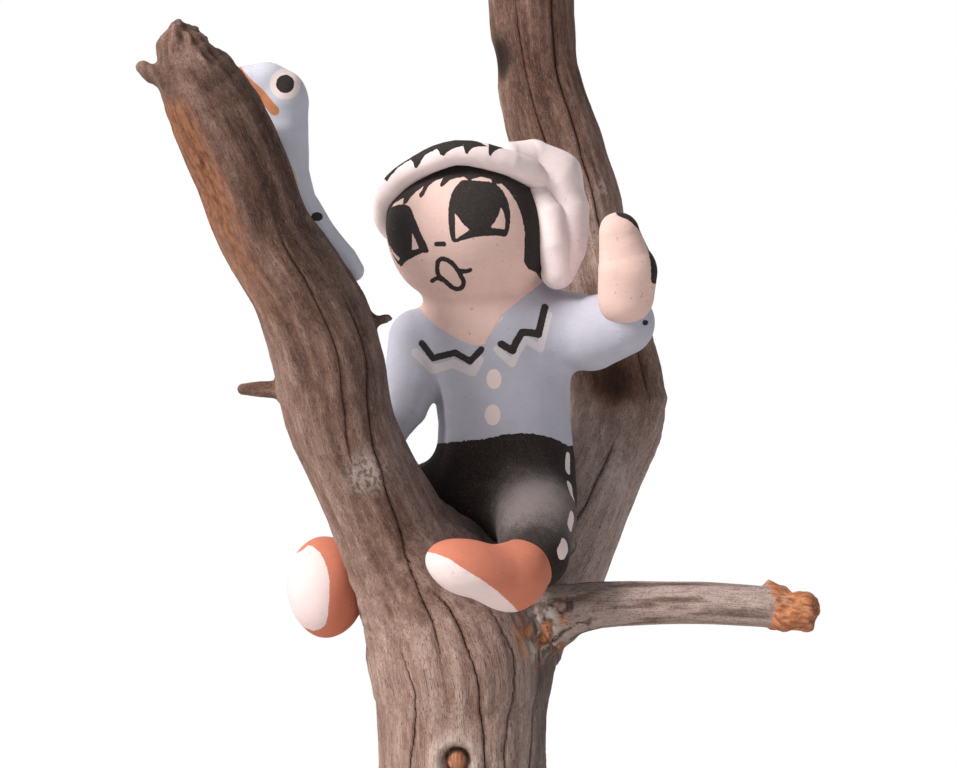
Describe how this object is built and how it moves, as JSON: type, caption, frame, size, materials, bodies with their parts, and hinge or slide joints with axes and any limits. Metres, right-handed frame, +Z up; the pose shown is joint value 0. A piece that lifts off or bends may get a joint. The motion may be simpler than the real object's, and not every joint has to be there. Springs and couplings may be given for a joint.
{
  "type": "folk art figure on a branch",
  "caption": "Painted clay boy sitting astride a natural forked branch, with a small clay bird clinging to one limb, on a wood slice base.",
  "frame": {"origin": "middle of the underside, on the surface that the piece stands on, straight under the trunk", "axes": "+X to the viewer's right, along the side branch; +Y to the back; +Z up, along the trunk"},
  "size_m": [0.1403, 0.1139, 0.2493],
  "materials": {
    "weathered_wood": "weathered, grey-brown, dry and cracked",
    "slab_wood": "sanded end grain with bark left on the edge",
    "dowel_wood": "plain beech",
    "steel": "zinc plated",
    "felt": "pressed wool felt",
    "skin_clay": "matt painted slip",
    "shirt_clay": "matt painted slip",
    "trouser_clay": "matt painted slip",
    "shoe_clay": "matt painted slip",
    "kerchief_clay": "matt painted slip",
    "bird_clay": "matt painted slip",
    "adhesive": "cured craft glue"
  },
  "bodies": {
    "root": {"trunk": "weathered_wood", "front_limb": "weathered_wood", "rear_limb": "weathered_wood", "side_branch": "weathered_wood", "base_slab": "slab_wood", "locating_dowel": "dowel_wood", "base_screw": "steel", "base_washer": "steel", "base_felt": "felt", "head": "skin_clay", "neck": "skin_clay", "hand_left": "skin_clay", "hand_right": "skin_clay", "torso": "shirt_clay", "sleeve_left": "shirt_clay", "sleeve_right": "shirt_clay", "hips": "trouser_clay", "leg_left": "trouser_clay", "leg_right": "trouser_clay", "shoe_left": "shoe_clay", "shoe_right": "shoe_clay", "headband": "kerchief_clay", "kerchief_knot": "kerchief_clay", "kerchief_tail": "kerchief_clay", "bird_body": "bird_clay", "bird_head": "bird_clay", "bird_beak": "bird_clay", "bird_tail": "bird_clay", "bird_wing_left": "bird_clay", "bird_wing_right": "bird_clay", "seat_glue": "adhesive", "bird_glue": "adhesive"}
  },
  "joints": []
}
